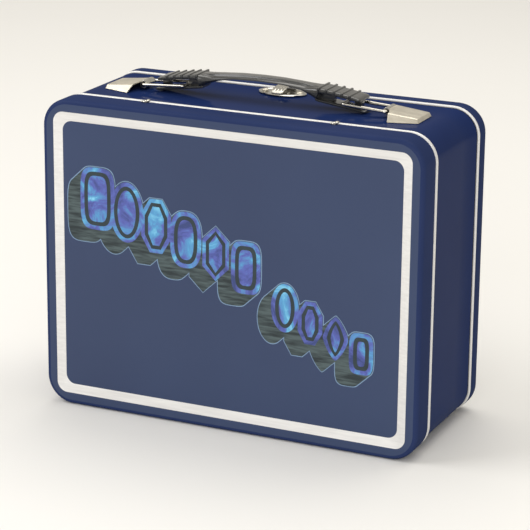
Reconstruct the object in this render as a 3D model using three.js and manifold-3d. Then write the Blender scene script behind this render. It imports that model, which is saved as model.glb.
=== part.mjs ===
// Metal lunch box: two pressed covers on a side band, a wire-hung carrying handle,
// a hasp latch on top, two small hinges below and a bottle wire inside.
// Millimetres. +X to the right, the front face towards -Y, the lid towards +Y, +Z up.
// The origin is the bottom centre of the whole box.
import * as THREE from 'three';
import { ConvexGeometry } from 'three/addons/geometries/ConvexGeometry.js';
import { mergeVertices } from 'three/addons/utils/BufferGeometryUtils.js';
import Module from 'manifold-3d';

// ---------------------------------------------------------------- dimensions
const WIDTH = 222;
const HEIGHT = 174.4;
const DEPTH = 94.5;
const CORNER_RADIUS = 15.5;
const SHEET = 0.6;
const GAP = 0.3;

const FRONT_SKIRT_END = -29.7;
const FRONT_EDGE_RADIUS = 2.5;
const LID_SKIRT_END = 36.2;
const LID_EDGE_RADIUS = 4.2;
const FRAME_INSET = 6.75;
const FRAME_RADIUS = 5.8;
const SLOPE_WIDTH = 5.1;
const SLOPE_DEPTH = 1.4;
const SLOPE_END_RADIUS = 5.5;
const RECESS_DEPTH = 2.0;
const PANEL_THICKNESS = 0.3;

const RIM_SIZE = 1.8;
const FRONT_RIM_Y = -28.5;
const LID_RIM_Y = 35;

const BAND_INSET = 1;
const BAND_FRONT_Y = -27.3;
const BAND_REAR_Y = 33.3;
const LIP_INSET = 2.4;
const FRONT_LIP_Y = -36;
const REAR_LIP_Y = 40.5;
const BAND_TOP = HEIGHT - BAND_INSET;

const HINGE_Y = 33.65;
const HINGE_Z = 1;
const HINGE_X = 70;
const HINGE_LENGTH = 24;
const HINGE_BARREL_R = 0.9;
const HINGE_PIN_R = 0.35;
const HINGE_BORE_R = 0.5;
const HINGE_LEAF = 0.5;

const HANDLE_Y = 2;
const BARREL_X = 72;
const BARREL_Z = 176.6;
const BARREL_R = 2.2;
const BARREL_BORE_R = 1.4;
const BARREL_LENGTH = 10.4;
const BRACKET_Y = 0;
const BRACKET_INNER_X = 77;
const BRACKET_OUTER_X = 92.4;
const BRACKET_HEIGHT = 4.3;
const BRACKET_TIP_HEIGHT = 2.2;
const WIRE_R = 0.9;
const RING_HALF_WIDTH = 6.5;
const RING_BEND_X = 47;
const RING_BEND_Z = 178.3;
const GRIP_WIDTH = 15;
const GRIP_CORE_WIDTH = 10.4;
// Heights of the grip's top, underside and end tongues at distances from its middle.
const GRIP_TOP = [[0, 187.6], [12, 187.4], [23, 186.7], [39, 185.4], [48, 184.2], [57, 182.7], [60, 182]];
const GRIP_UNDER = [
  [60, 179], [47, 180], [38, 180.5], [36, 178.2], [33.5, 178], [30, 180.6], [25, 182.6], [15, 184.2], [0, 185],
];
const TONGUE = [
  [33.5, 178], [61.5, 173.9], [62.6, 174.6], [62.6, 175.9], [57.5, 176.4], [57.5, 180], [45, 182], [35, 182],
];
const SLOT_LOW = 176.7;
const SLOT_HIGH = 179.9;
const SLOT_TRAVEL = 4.2;
const RIB_FIRST_X = 34.5;
const RIB_PITCH = 4.65;
const RIB_COUNT = 5;
const RIB_THICKNESS = 1.4;
const RIB_TILT = 0.15;

const PLATE_Y = 23.5;
const PLATE_HALF_X = 14;
const PLATE_HALF_Y = 8.5;
const PLATE_LOW = BAND_TOP + GAP;
const PLATE_TOP = PLATE_LOW + SHEET;
const RIVET_X = 10.2;
const RIVET_HOLE_R = 1.25;

const HASP_AXIS_Y = 35.2;
const HASP_AXIS_Z = 176.3;
const HASP_BARREL_R = 1.2;
const HASP_PIN_R = 0.5;
const HASP_BORE_R = 0.7;
const HASP_WIDTH = 9.4;

const BAIL_AXIS_Y = -34;
const BAIL_AXIS_Z = 169.4;
const BAIL_CLIP_X = 55;
const BAIL_WIRE_R = 1;
const BAIL_LEG = 74;

// ------------------------------------------------------------------- helpers
const wasm = await Module();
wasm.setup();

const box = new THREE.Group();

function solidOf(geometry) {
  const bare = geometry.clone();
  bare.deleteAttribute('normal');
  bare.deleteAttribute('uv');
  const merged = mergeVertices(bare, 1e-4);
  const vertProperties = new Float32Array(merged.attributes.position.array);
  const triVerts = new Uint32Array(merged.index.array);
  return new wasm.Manifold(new wasm.Mesh({ numProp: 3, vertProperties, triVerts }));
}

function addNode(name, solid, material) {
  const { vertProperties, triVerts } = solid.getMesh();
  const geometry = new THREE.BufferGeometry();
  geometry.setAttribute('position', new THREE.BufferAttribute(vertProperties, 3));
  geometry.setIndex(new THREE.BufferAttribute(triVerts, 1));
  geometry.computeVertexNormals();
  const mesh = new THREE.Mesh(geometry, material);
  mesh.name = name;
  box.add(mesh);
}

function joined(...solids) {
  return solids.reduce((sum, next) => sum.add(next));
}

function block(x0, x1, y0, y1, z0, z1) {
  const geometry = new THREE.BoxGeometry(x1 - x0, y1 - y0, z1 - z0);
  geometry.translate((x0 + x1) / 2, (y0 + y1) / 2, (z0 + z1) / 2);
  return solidOf(geometry);
}

// A round bar along X, from x0 to x1.
function barX(radius, x0, x1, y, z, sides = 16) {
  const geometry = new THREE.CylinderGeometry(radius, radius, x1 - x0, sides);
  geometry.rotateZ(Math.PI / 2);
  geometry.translate((x0 + x1) / 2, y, z);
  return solidOf(geometry);
}

// A round bar along Y, centred on y.
function barY(radius, length, x, y, z, sides = 16) {
  const geometry = new THREE.CylinderGeometry(radius, radius, length, sides);
  geometry.translate(x, y, z);
  return solidOf(geometry);
}

// A round bar along Z, from z0 to z1.
function barZ(radius, x, y, z0, z1, sides = 16) {
  const geometry = new THREE.CylinderGeometry(radius, radius, z1 - z0, sides);
  geometry.rotateX(Math.PI / 2);
  geometry.translate(x, y, (z0 + z1) / 2);
  return solidOf(geometry);
}

// The box's outline in X and Z, moved in by inset.
function outline(inset, radius = CORNER_RADIUS - inset) {
  const x = WIDTH / 2 - inset;
  const low = inset;
  const high = HEIGHT - inset;
  const shape = new THREE.Shape();
  shape.moveTo(-x + radius, low);
  shape.lineTo(x - radius, low);
  shape.absarc(x - radius, low + radius, radius, -Math.PI / 2, 0);
  shape.lineTo(x, high - radius);
  shape.absarc(x - radius, high - radius, radius, 0, Math.PI / 2);
  shape.lineTo(-x + radius, high);
  shape.absarc(-x + radius, high - radius, radius, Math.PI / 2, Math.PI);
  shape.lineTo(-x, low + radius);
  shape.absarc(-x + radius, low + radius, radius, Math.PI, Math.PI * 1.5);
  return shape;
}

// The hull through outlines at several depths; each ring is [y, inset, radius].
function loft(rings, segments = 4) {
  const points = [];
  for (const [y, inset, radius] of rings) {
    for (const p of outline(inset, radius).getPoints(segments)) {
      points.push(new THREE.Vector3(p.x, y, p.y));
    }
  }
  return solidOf(new ConvexGeometry(points));
}

function slab(y0, y1, inset, radius) {
  return loft([[y0, inset, radius], [y1, inset, radius]]);
}

function ring(y0, y1, outerInset, innerInset) {
  return slab(y0, y1, outerInset).subtract(slab(y0 - 1, y1 + 1, innerInset));
}

// A flat shape in Y and Z, pushed along X from x0 to x1.
function plateYZ(points, x0, x1) {
  const shape = new THREE.Shape(points.map(([y, z]) => new THREE.Vector2(y, z)));
  const geometry = new THREE.ExtrudeGeometry(shape, { depth: x1 - x0, bevelEnabled: false });
  geometry.rotateX(Math.PI / 2);
  geometry.rotateZ(Math.PI / 2);
  geometry.translate(x0, 0, 0);
  return solidOf(geometry);
}

// A shape in X and Z, pushed along Y and centred on the handle.
function handlePlate(shape, width) {
  const options = { depth: width, bevelEnabled: false, curveSegments: 3 };
  const geometry = new THREE.ExtrudeGeometry(shape, options);
  geometry.rotateX(Math.PI / 2);
  geometry.translate(0, HANDLE_Y + width / 2, 0);
  return solidOf(geometry);
}

// A round wire along a route of points with rounded corners.
function wire(points, radius, bend, step = 2.2, sides = 8) {
  const path = new THREE.CurvePath();
  let from = points[0];
  for (let i = 1; i < points.length - 1; i += 1) {
    const before = points[i].clone().sub(points[i - 1]).setLength(bend);
    const after = points[i + 1].clone().sub(points[i]).setLength(bend);
    const start = points[i].clone().sub(before);
    const end = points[i].clone().add(after);
    path.add(new THREE.LineCurve3(from, start));
    path.add(new THREE.QuadraticBezierCurve3(start, points[i], end));
    from = end;
  }
  path.add(new THREE.LineCurve3(from, points[points.length - 1]));
  const section = new THREE.Shape();
  section.absarc(0, 0, radius, 0, Math.PI * 2);
  const steps = Math.ceil(path.getLength() / (radius * step));
  const options = { extrudePath: path, steps, curveSegments: sides / 2, bevelEnabled: false };
  return solidOf(new THREE.ExtrudeGeometry(section, options));
}

// A rivet along Z with a domed head at its top.
function rivet(x, y, plateTop, sheetBottom) {
  const top = plateTop + GAP;
  const tail = sheetBottom - GAP;
  const profile = [
    [0, tail - 0.6], [1.6, tail - 0.6], [1.6, tail], [0.9, tail],
    [0.9, top], [1.8, top], [1.6, top + 0.5], [1, top + 0.8], [0, top + 0.9],
  ].map(([r, z]) => new THREE.Vector2(r, z));
  const geometry = new THREE.LatheGeometry(profile, 12);
  geometry.rotateX(Math.PI / 2);
  geometry.translate(x, y, 0);
  return solidOf(geometry);
}

function paint(colour, roughness, metalness) {
  return new THREE.MeshStandardMaterial({ color: colour, roughness, metalness });
}

const navy = paint(0x162350, 0.3, 0.1);
const whiteRim = paint(0xd9d8d4, 0.35, 0.6);
const nickel = paint(0xbdb5a6, 0.3, 0.9);
const plastic = paint(0x2a2b2a, 0.45, 0);
const panelPaint = paint(0x1c2c60, 0.35, 0.1);

// -------------------------------------------------------------------- covers
// A cover with its face at y = 0 and its open side towards +Y.
function coverPan(depth, edgeRadius) {
  const arcSteps = 4;
  const outer = [];
  const inner = [];
  for (let i = 0; i <= arcSteps; i += 1) {
    const angle = (i / arcSteps) * (Math.PI / 2);
    const out = edgeRadius * (1 - Math.sin(angle));
    const along = edgeRadius * (1 - Math.cos(angle));
    outer.push([along, out]);
    inner.push([SHEET + along * (1 - SHEET / edgeRadius), SHEET + out * (1 - SHEET / edgeRadius)]);
  }
  outer.push([depth, 0]);
  inner.push([depth + 1, SHEET]);
  const slopeEnd = FRAME_INSET + SLOPE_WIDTH;
  const over = 0.2;
  const spread = (over / SLOPE_DEPTH) * SLOPE_WIDTH;
  const slope = (shift) => loft([
    [shift - over, FRAME_INSET - spread, FRAME_RADIUS + spread / 2],
    [shift + SLOPE_DEPTH, slopeEnd, SLOPE_END_RADIUS],
  ]);
  const recess = slope(0).add(slab(0.1, RECESS_DEPTH, slopeEnd, SLOPE_END_RADIUS));
  const boss = slope(SHEET)
    .add(slab(SHEET, RECESS_DEPTH + SHEET, slopeEnd - SHEET, SLOPE_END_RADIUS + SHEET));
  return loft(outer).subtract(recess).subtract(loft(inner).subtract(boss));
}

function artPanel() {
  const inset = FRAME_INSET + SLOPE_WIDTH + GAP;
  return slab(SLOPE_DEPTH, SLOPE_DEPTH + PANEL_THICKNESS, inset, SLOPE_END_RADIUS - GAP);
}

// The curled rim: round outside and flat against the band.
function rimBead(y) {
  const rings = [-90, -45, 0, 45, 90].map((degrees) => {
    const angle = THREE.MathUtils.degToRad(degrees);
    return [y + (RIM_SIZE / 2) * Math.sin(angle), 0.7 * (1 - Math.cos(angle))];
  });
  return loft(rings).subtract(slab(y - 2, y + 2, RIM_SIZE));
}

const toFront = (solid) => solid.translate([0, -DEPTH / 2, 0]);
const toBack = (solid) => solid.rotate([0, 0, 180]).translate([0, DEPTH / 2, 0]);

const frontDepth = FRONT_SKIRT_END + DEPTH / 2;
const lidDepth = DEPTH / 2 - LID_SKIRT_END;
let frontCover = toFront(coverPan(frontDepth, FRONT_EDGE_RADIUS));
let lidCover = toBack(coverPan(lidDepth, LID_EDGE_RADIUS));
let lidRim = rimBead(LID_RIM_Y);

// ---------------------------------------------------------------------- band
let band = joined(
  ring(BAND_FRONT_Y, BAND_REAR_Y, BAND_INSET, BAND_INSET + SHEET),
  ring(BAND_FRONT_Y, BAND_FRONT_Y + SHEET, BAND_INSET + SHEET / 2, LIP_INSET + SHEET),
  ring(BAND_REAR_Y - SHEET, BAND_REAR_Y, BAND_INSET + SHEET / 2, LIP_INSET + SHEET),
  ring(FRONT_LIP_Y, BAND_FRONT_Y + SHEET, LIP_INSET, LIP_INSET + SHEET),
  ring(BAND_REAR_Y - SHEET, REAR_LIP_Y, LIP_INSET, LIP_INSET + SHEET),
);

// -------------------------------------------------------------------- hinges
function makeHinge(side, centre) {
  const half = HINGE_LENGTH / 2;
  const middle = 3.9;
  const clear = middle + GAP;
  const bore = barX(HINGE_BORE_R, centre - half - 1, centre + half + 1, HINGE_Y, HINGE_Z);
  const leafLow = HINGE_Z - HINGE_BARREL_R;
  const bodyPlate = block(centre - half, centre + half, 20, HINGE_Y, leafLow, leafLow + HINGE_LEAF);
  const lidPocket = block(centre - clear, centre + clear, HINGE_Y - 1.3, HINGE_Y + 2, -1, 3);
  const endKnuckles = [-1, 1].map((s) => {
    const inner = centre + s * clear;
    const outer = centre + s * half;
    const x0 = Math.min(inner, outer);
    const x1 = Math.max(inner, outer);
    return barX(HINGE_BARREL_R, x0, x1, HINGE_Y, HINGE_Z);
  });
  const bodyLeaf = joined(bodyPlate.subtract(lidPocket), ...endKnuckles).subtract(bore);
  const lidLeafLow = SHEET + GAP;
  const lidLeafTop = lidLeafLow + HINGE_LEAF;
  const lidLeaf = joined(
    barX(HINGE_BARREL_R, centre - middle, centre + middle, HINGE_Y, HINGE_Z),
    block(centre - middle, centre + middle, HINGE_Y, 36, lidLeafLow, lidLeafTop),
    block(centre - half, centre + half, 35.2, 42, lidLeafLow, lidLeafTop),
  ).subtract(bore);
  addNode(`hinge_${side}_body_leaf`, bodyLeaf, nickel);
  addNode(`hinge_${side}_lid_leaf`, lidLeaf, nickel);
  const pin = barX(HINGE_PIN_R, centre - half, centre + half, HINGE_Y, HINGE_Z, 12);
  addNode(`hinge_${side}_pin`, pin, nickel);
  const notch = half + GAP;
  band = band.subtract(block(centre - notch, centre + notch, HINGE_Y - 1.3, BAND_REAR_Y + 1, 0, 2.3));
  lidRim = lidRim
    .subtract(block(centre - notch, centre + notch, HINGE_Y, HINGE_Y + 1.25, -1, 4))
    .subtract(block(centre - notch, centre + notch, HINGE_Y, LID_RIM_Y + 2, SHEET, 4));
}
makeHinge('left', -HINGE_X);
makeHinge('right', HINGE_X);

// --------------------------------------------------------------------- latch
const oval = new THREE.Shape();
oval.absellipse(0, 0, PLATE_HALF_X, PLATE_HALF_Y, 0, Math.PI * 2);
const ovalGeometry = new THREE.ExtrudeGeometry(oval, {
  depth: PLATE_TOP - PLATE_LOW, bevelEnabled: false, curveSegments: 20,
});
ovalGeometry.translate(0, PLATE_Y, PLATE_LOW);
let basePlate = solidOf(ovalGeometry).add(block(-4, 4, 21, 24, PLATE_LOW, PLATE_TOP + 0.5));
for (const x of [-RIVET_X, RIVET_X]) {
  const hole = barZ(RIVET_HOLE_R, x, PLATE_Y, BAND_TOP - 2, PLATE_TOP + 2);
  basePlate = basePlate.subtract(hole);
  band = band.subtract(hole);
  const side = x < 0 ? 'left' : 'right';
  addNode(`latch_rivet_${side}`, rivet(x, PLATE_Y, PLATE_TOP, BAND_TOP - SHEET), nickel);
}
addNode('latch_base_plate', basePlate, nickel);

const haspHalf = HASP_WIDTH / 2;
const haspKnuckle = 3;
const haspBore = barX(HASP_BORE_R, -10, 10, HASP_AXIS_Y, HASP_AXIS_Z);
const haspTop = [[32, 178], [28, 178.2], [24, 177.9], [20, 177], [17, 175.9], [14.6, 175.6]];
const haspUnder = [[14.6, 174.95], [17, 175.2], [20, 176.3], [24, 177.2], [28, 177.5], [32, 177.3]];
const haspRoot = HASP_AXIS_Y - 0.3;
const haspBlade = plateYZ([...haspTop, ...haspUnder], -haspHalf, haspHalf);
const haspFinger = plateYZ([[haspRoot, 177.45], ...haspTop, ...haspUnder, [haspRoot, 176.75]],
  -haspKnuckle, haspKnuckle);
const hasp = joined(
  haspFinger,
  haspBlade,
  barX(HASP_BARREL_R, -haspKnuckle, haspKnuckle, HASP_AXIS_Y, HASP_AXIS_Z),
).subtract(haspBore);
addNode('latch_hasp', hasp, nickel);

const lidPlateLow = HEIGHT + GAP;
const lidPlateTop = lidPlateLow + 0.6;
const lidBracketX = 8.5;
const lidRivetX = 6;
const lidRivetY = 39.8;
let lidBracket = joined(
  block(-lidBracketX, lidBracketX, 37, 42.6, lidPlateLow, lidPlateTop),
  ...[-1, 1].map((s) => {
    const x0 = Math.min(s * (haspKnuckle + GAP), s * 6.2);
    const x1 = Math.max(s * (haspKnuckle + GAP), s * 6.2);
    return joined(
      barX(HASP_BARREL_R, x0, x1, HASP_AXIS_Y, HASP_AXIS_Z),
      plateYZ([[HASP_AXIS_Y, 175.1], [38, lidPlateLow], [38, lidPlateTop], [HASP_AXIS_Y, 177.4]], x0, x1),
    );
  }),
).subtract(haspBore);
for (const x of [-lidRivetX, lidRivetX]) {
  const hole = barZ(RIVET_HOLE_R, x, lidRivetY, HEIGHT - 2, lidPlateTop + 2);
  lidBracket = lidBracket.subtract(hole);
  lidCover = lidCover.subtract(hole);
  const side = x < 0 ? 'left' : 'right';
  addNode(`lid_bracket_rivet_${side}`, rivet(x, lidRivetY, lidPlateTop, HEIGHT - SHEET), nickel);
}
addNode('latch_lid_bracket', lidBracket, nickel);
addNode('latch_hasp_pin', barX(HASP_PIN_R, -6.4, 6.4, HASP_AXIS_Y, HASP_AXIS_Z, 12), nickel);

// -------------------------------------------------------------------- handle
function wedge(grow, low) {
  const points = [];
  const wallX = grow === 0 ? BRACKET_INNER_X : BRACKET_INNER_X - 2;
  for (const s of [-1, 1]) {
    const at = (x, half, z) => points.push(new THREE.Vector3(x, BRACKET_Y + s * (half - grow), z));
    at(wallX, 14.5, low);
    at(BRACKET_OUTER_X - grow, 10, low);
    at(wallX, 9.2, PLATE_LOW + BRACKET_HEIGHT - grow);
    at(BRACKET_OUTER_X - 0.8 - grow, 9, PLATE_LOW + BRACKET_TIP_HEIGHT - grow);
  }
  return solidOf(new ConvexGeometry(points));
}

function makeBracket(side, mirror) {
  const strapTop = PLATE_LOW + BRACKET_HEIGHT;
  const half = BARREL_LENGTH / 2;
  const tabHalf = 2;
  const tabX = 84;
  const tabY = 10.8;
  let bracket = wedge(0, PLATE_LOW).subtract(wedge(SHEET, PLATE_LOW - 1));
  const strap = block(BARREL_X, BRACKET_INNER_X + 1, HANDLE_Y - half, HANDLE_Y + half,
    strapTop - SHEET, strapTop);
  bracket = joined(bracket, strap, barY(BARREL_R, BARREL_LENGTH, BARREL_X, HANDLE_Y, BARREL_Z, 20));
  bracket = bracket.subtract(barY(BARREL_BORE_R, 40, BARREL_X, HANDLE_Y, BARREL_Z));
  for (const y of [BRACKET_Y - tabY, BRACKET_Y + tabY]) {
    const wall = tabHalf * 0.5;
    const tab = block(tabX - tabHalf, tabX + tabHalf, y - wall, y + wall, BAND_TOP - 3, PLATE_LOW + 1);
    bracket = bracket.add(tab);
    const slot = block(tabX - tabHalf - GAP, tabX + tabHalf + GAP, y - wall - GAP, y + wall + GAP,
      BAND_TOP - 2, BAND_TOP + 2);
    band = band.subtract(mirror ? slot.mirror([1, 0, 0]) : slot);
  }
  addNode(`handle_bracket_${side}`, mirror ? bracket.mirror([1, 0, 0]) : bracket, nickel);
}
makeBracket('left', true);
makeBracket('right', false);

function makeRing(side, sign) {
  const point = (x, y, z) => new THREE.Vector3(sign * x, HANDLE_Y + y, z);
  const split = 0.25;
  const route = [
    point(BARREL_X, -split, BARREL_Z),
    point(BARREL_X, -RING_HALF_WIDTH, BARREL_Z),
    point(RING_BEND_X, -RING_HALF_WIDTH, RING_BEND_Z),
    point(RING_BEND_X, RING_HALF_WIDTH, RING_BEND_Z),
    point(BARREL_X, RING_HALF_WIDTH, BARREL_Z),
    point(BARREL_X, split, BARREL_Z),
  ];
  addNode(`handle_ring_${side}`, wire(route, WIRE_R, 1.3), nickel);
}
makeRing('left', -1);
makeRing('right', 1);

function gripShape() {
  const flip = (points) => points.map(([x, z]) => [-x, z]).reverse();
  const points = [...flip(GRIP_TOP), ...GRIP_TOP.slice(1), ...GRIP_UNDER, ...flip(GRIP_UNDER).slice(1)];
  return new THREE.Shape(points.map(([x, z]) => new THREE.Vector2(x, z)));
}

function gripTopAt(x) {
  const next = GRIP_TOP.findIndex(([at]) => at >= x);
  const [x0, z0] = GRIP_TOP[next - 1];
  const [x1, z1] = GRIP_TOP[next];
  return z0 + ((z1 - z0) * (x - x0)) / (x1 - x0);
}

let grip = handlePlate(gripShape(), GRIP_WIDTH);
for (const sign of [-1, 1]) {
  const tongue = new THREE.Shape(TONGUE.map(([x, z]) => new THREE.Vector2(sign * x, z)));
  grip = grip.add(handlePlate(tongue, GRIP_CORE_WIDTH));
  for (let i = 0; i < RIB_COUNT; i += 1) {
    const x = RIB_FIRST_X + i * RIB_PITCH;
    const rib = new THREE.BoxGeometry(RIB_THICKNESS, GRIP_WIDTH + 0.8, 2);
    rib.rotateY(sign * RIB_TILT);
    rib.translate(sign * x, HANDLE_Y, gripTopAt(x) - 0.35);
    grip = grip.add(solidOf(rib));
  }
  const slotNear = RING_BEND_X - WIRE_R - 0.5;
  const slotFar = RING_BEND_X + SLOT_TRAVEL + WIRE_R;
  const slotX = [sign * slotNear, sign * slotFar].sort((p, q) => p - q);
  grip = grip.subtract(block(slotX[0], slotX[1], HANDLE_Y - 20, HANDLE_Y + 20, SLOT_LOW, SLOT_HIGH));
}
addNode('handle_grip', grip, plastic);

// --------------------------------------------------------------- bottle wire
function makeClip(side, x) {
  const half = 2.3;
  const skirtInner = HEIGHT - SHEET;
  const hanger = block(x - half, x + half, BAIL_AXIS_Y - 1.9, BAIL_AXIS_Y + 1.9,
    BAIL_AXIS_Z - 1.9, skirtInner - GAP);
  const bore = barX(BAIL_WIRE_R + 0.3, x - 5, x + 5, BAIL_AXIS_Y, BAIL_AXIS_Z);
  const shank = block(x - 1, x + 1, BAIL_AXIS_Y - 1, BAIL_AXIS_Y + 1, BAIL_AXIS_Z + 2, HEIGHT + 0.5);
  const dome = new THREE.SphereGeometry(1, 12, 8);
  dome.scale(2.2, 3.2, 1.8);
  dome.translate(x, BAIL_AXIS_Y, HEIGHT + GAP);
  const head = solidOf(dome).intersect(block(x - 9, x + 9, BAIL_AXIS_Y - 9, BAIL_AXIS_Y + 9,
    HEIGHT + GAP, HEIGHT + 9));
  addNode(`bail_clip_${side}`, joined(hanger.subtract(bore), shank, head), nickel);
  frontCover = frontCover.subtract(block(x - 1.4, x + 1.4, BAIL_AXIS_Y - 1.4, BAIL_AXIS_Y + 1.4,
    HEIGHT - 2, HEIGHT + 2));
  const relief = 3;
  band = band.subtract(block(x - relief, x + relief, FRONT_LIP_Y - 1, BAIL_AXIS_Y + 2.4,
    HEIGHT - 4, HEIGHT - 2));
}
makeClip('left', -BAIL_CLIP_X);
makeClip('right', BAIL_CLIP_X);

const bailOut = BAIL_CLIP_X + 5.2;
const bailRoute = [
  new THREE.Vector3(-bailOut + 8, BAIL_AXIS_Y, BAIL_AXIS_Z),
  new THREE.Vector3(-bailOut, BAIL_AXIS_Y, BAIL_AXIS_Z),
  new THREE.Vector3(-bailOut, BAIL_AXIS_Y, BAIL_AXIS_Z - BAIL_LEG),
  new THREE.Vector3(bailOut, BAIL_AXIS_Y, BAIL_AXIS_Z - BAIL_LEG),
  new THREE.Vector3(bailOut, BAIL_AXIS_Y, BAIL_AXIS_Z),
  new THREE.Vector3(bailOut - 8, BAIL_AXIS_Y, BAIL_AXIS_Z),
];
addNode('bottle_bail', wire(bailRoute, BAIL_WIRE_R, 2.5, 2.8), nickel);

addNode('body_band', band, navy);
addNode('front_cover', frontCover, navy);
addNode('front_rim_bead', rimBead(FRONT_RIM_Y), whiteRim);
addNode('front_art_panel', toFront(artPanel()), panelPaint);
addNode('lid_cover', lidCover, navy);
addNode('lid_rim_bead', lidRim, whiteRim);
addNode('lid_art_panel', toBack(artPanel()), panelPaint);

export default box;
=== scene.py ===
"""Looks of the metal lunch box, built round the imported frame. All lengths are in metres."""
import math

import bmesh
import bpy
from mathutils import Matrix, Vector
from mathutils.geometry import convex_hull_2d


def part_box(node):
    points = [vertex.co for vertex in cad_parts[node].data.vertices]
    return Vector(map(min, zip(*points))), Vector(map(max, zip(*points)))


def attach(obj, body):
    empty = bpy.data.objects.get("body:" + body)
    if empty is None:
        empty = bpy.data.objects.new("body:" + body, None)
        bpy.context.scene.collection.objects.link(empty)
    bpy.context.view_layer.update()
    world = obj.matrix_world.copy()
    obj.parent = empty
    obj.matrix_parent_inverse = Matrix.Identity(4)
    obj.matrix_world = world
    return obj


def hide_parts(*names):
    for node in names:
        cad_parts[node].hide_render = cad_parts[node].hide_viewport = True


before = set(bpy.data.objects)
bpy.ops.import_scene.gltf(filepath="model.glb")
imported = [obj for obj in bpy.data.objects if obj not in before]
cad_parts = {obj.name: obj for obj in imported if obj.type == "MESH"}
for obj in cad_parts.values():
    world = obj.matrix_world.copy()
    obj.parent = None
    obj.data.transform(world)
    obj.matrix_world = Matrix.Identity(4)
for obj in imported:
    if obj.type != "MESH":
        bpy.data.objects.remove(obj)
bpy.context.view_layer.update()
MM = 0.001

# ------------------------------------------------------------ driving sizes
low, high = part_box("front_cover")
WIDTH = high.x - low.x
HEIGHT = high.z - low.z
FRONT_Y = low.y
FRONT_SKIRT_END = high.y
lid_low, lid_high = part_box("lid_cover")
LID_Y = lid_high.y
LID_SKIRT_END = lid_low.y
band_low, band_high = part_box("body_band")
BAND_TOP = band_high.z
CORNER = 15.5 * MM
SHEET = 0.6 * MM
BAND_INSET = 1.0 * MM
FRAME_INSET = 6.75 * MM
SLOPE_WIDTH = 5.1 * MM
SLOPE_DEPTH = 1.4 * MM
RECESS_DEPTH = 2.0 * MM


# ------------------------------------------------------------ node materials
class Look:
    """A procedural material: a Principled shader with a few texture helpers."""

    def __init__(self, name, **constants):
        self.material = bpy.data.materials.new(name)
        self.material.use_nodes = True
        self.tree = self.material.node_tree
        self.shader = self.tree.nodes["Principled BSDF"]
        self.space = self.node("ShaderNodeTexCoord").outputs["Object"]
        for socket, value in constants.items():
            self.shader.inputs[socket.replace("_", " ")].default_value = value

    def node(self, kind, **settings):
        made = self.tree.nodes.new(kind)
        for key, value in settings.items():
            setattr(made, key, value)
        return made

    def link(self, out, into):
        self.tree.links.new(out, into)

    def stretched(self, scale):
        mapping = self.node("ShaderNodeMapping")
        mapping.inputs["Scale"].default_value = scale
        self.link(self.space, mapping.inputs["Vector"])
        return mapping.outputs["Vector"]

    def noise(self, scale, detail=4.0, roughness=0.55, stretch=None, distortion=0.0):
        made = self.node("ShaderNodeTexNoise")
        made.inputs["Scale"].default_value = scale
        made.inputs["Detail"].default_value = detail
        made.inputs["Roughness"].default_value = roughness
        made.inputs["Distortion"].default_value = distortion
        source = self.stretched(stretch) if stretch else self.space
        self.link(source, made.inputs["Vector"])
        return made.outputs["Fac"]

    def ramp(self, fac, stops):
        made = self.node("ShaderNodeValToRGB")
        elements = made.color_ramp.elements
        while len(elements) < len(stops):
            elements.new(0.5)
        for element, (position, colour) in zip(elements, stops):
            element.position = position
            element.color = (*colour, 1.0)
        self.link(fac, made.inputs["Fac"])
        return made.outputs["Color"]

    def span(self, fac, low, high, start=0.3, end=0.7):
        made = self.node("ShaderNodeMapRange")
        made.inputs["From Min"].default_value = start
        made.inputs["From Max"].default_value = end
        made.inputs["To Min"].default_value = low
        made.inputs["To Max"].default_value = high
        self.link(fac, made.inputs["Value"])
        return made.outputs["Result"]

    def colour(self, out):
        self.link(out, self.shader.inputs["Base Color"])

    def roughness(self, out):
        self.link(out, self.shader.inputs["Roughness"])

    def bump(self, height, distance, strength=1.0):
        made = self.node("ShaderNodeBump")
        made.inputs["Distance"].default_value = distance
        made.inputs["Strength"].default_value = strength
        self.link(height, made.inputs["Height"])
        previous = self.shader.inputs["Normal"]
        if previous.is_linked:
            self.link(previous.links[0].from_socket, made.inputs["Normal"])
        self.link(made.outputs["Normal"], previous)


def enamel(name, dark, light, coat):
    """Gloss paint on tinplate with a faint orange-peel surface."""
    look = Look(name, Coat_Weight=coat, Coat_Roughness=0.07, Specular_IOR_Level=0.0)
    look.colour(look.ramp(look.noise(14.0, 3.0), [(0.3, dark), (0.7, light)]))
    look.roughness(look.span(look.noise(160.0, 5.0), 0.3, 0.42))
    look.bump(look.noise(520.0, 2.0), 0.00001, 0.5)
    look.bump(look.noise(11.0, 1.0), 0.0002, 0.2)
    return look.material


def panel_print():
    look = Look("panel_print", Coat_Weight=0.25, Coat_Roughness=0.35, Specular_IOR_Level=0.3)
    tone = look.noise(9.0, 3.0)
    look.colour(look.ramp(tone, [(0.3, (0.0225, 0.0395, 0.100)), (0.7, (0.0270, 0.0470, 0.114))]))
    look.roughness(look.span(look.noise(240.0, 5.0), 0.42, 0.52))
    look.bump(look.noise(900.0, 3.0), 0.00001, 0.6)
    return look.material


def brushed(name, colour, roughness, grain, metallic=1.0, tint=0.12):
    """Bare or plated sheet with fine grain; grain is the stretch of the brush lines."""
    look = Look(name, Metallic=metallic)
    lines = look.noise(900.0, 4.0, 0.6, stretch=grain)
    darker = tuple(c * (1 - tint) for c in colour)
    look.colour(look.ramp(lines, [(0.3, darker), (0.7, colour)]))
    look.roughness(look.span(lines, roughness - 0.06, roughness + 0.08))
    look.bump(lines, 0.00001, 0.5)
    return look.material


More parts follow.
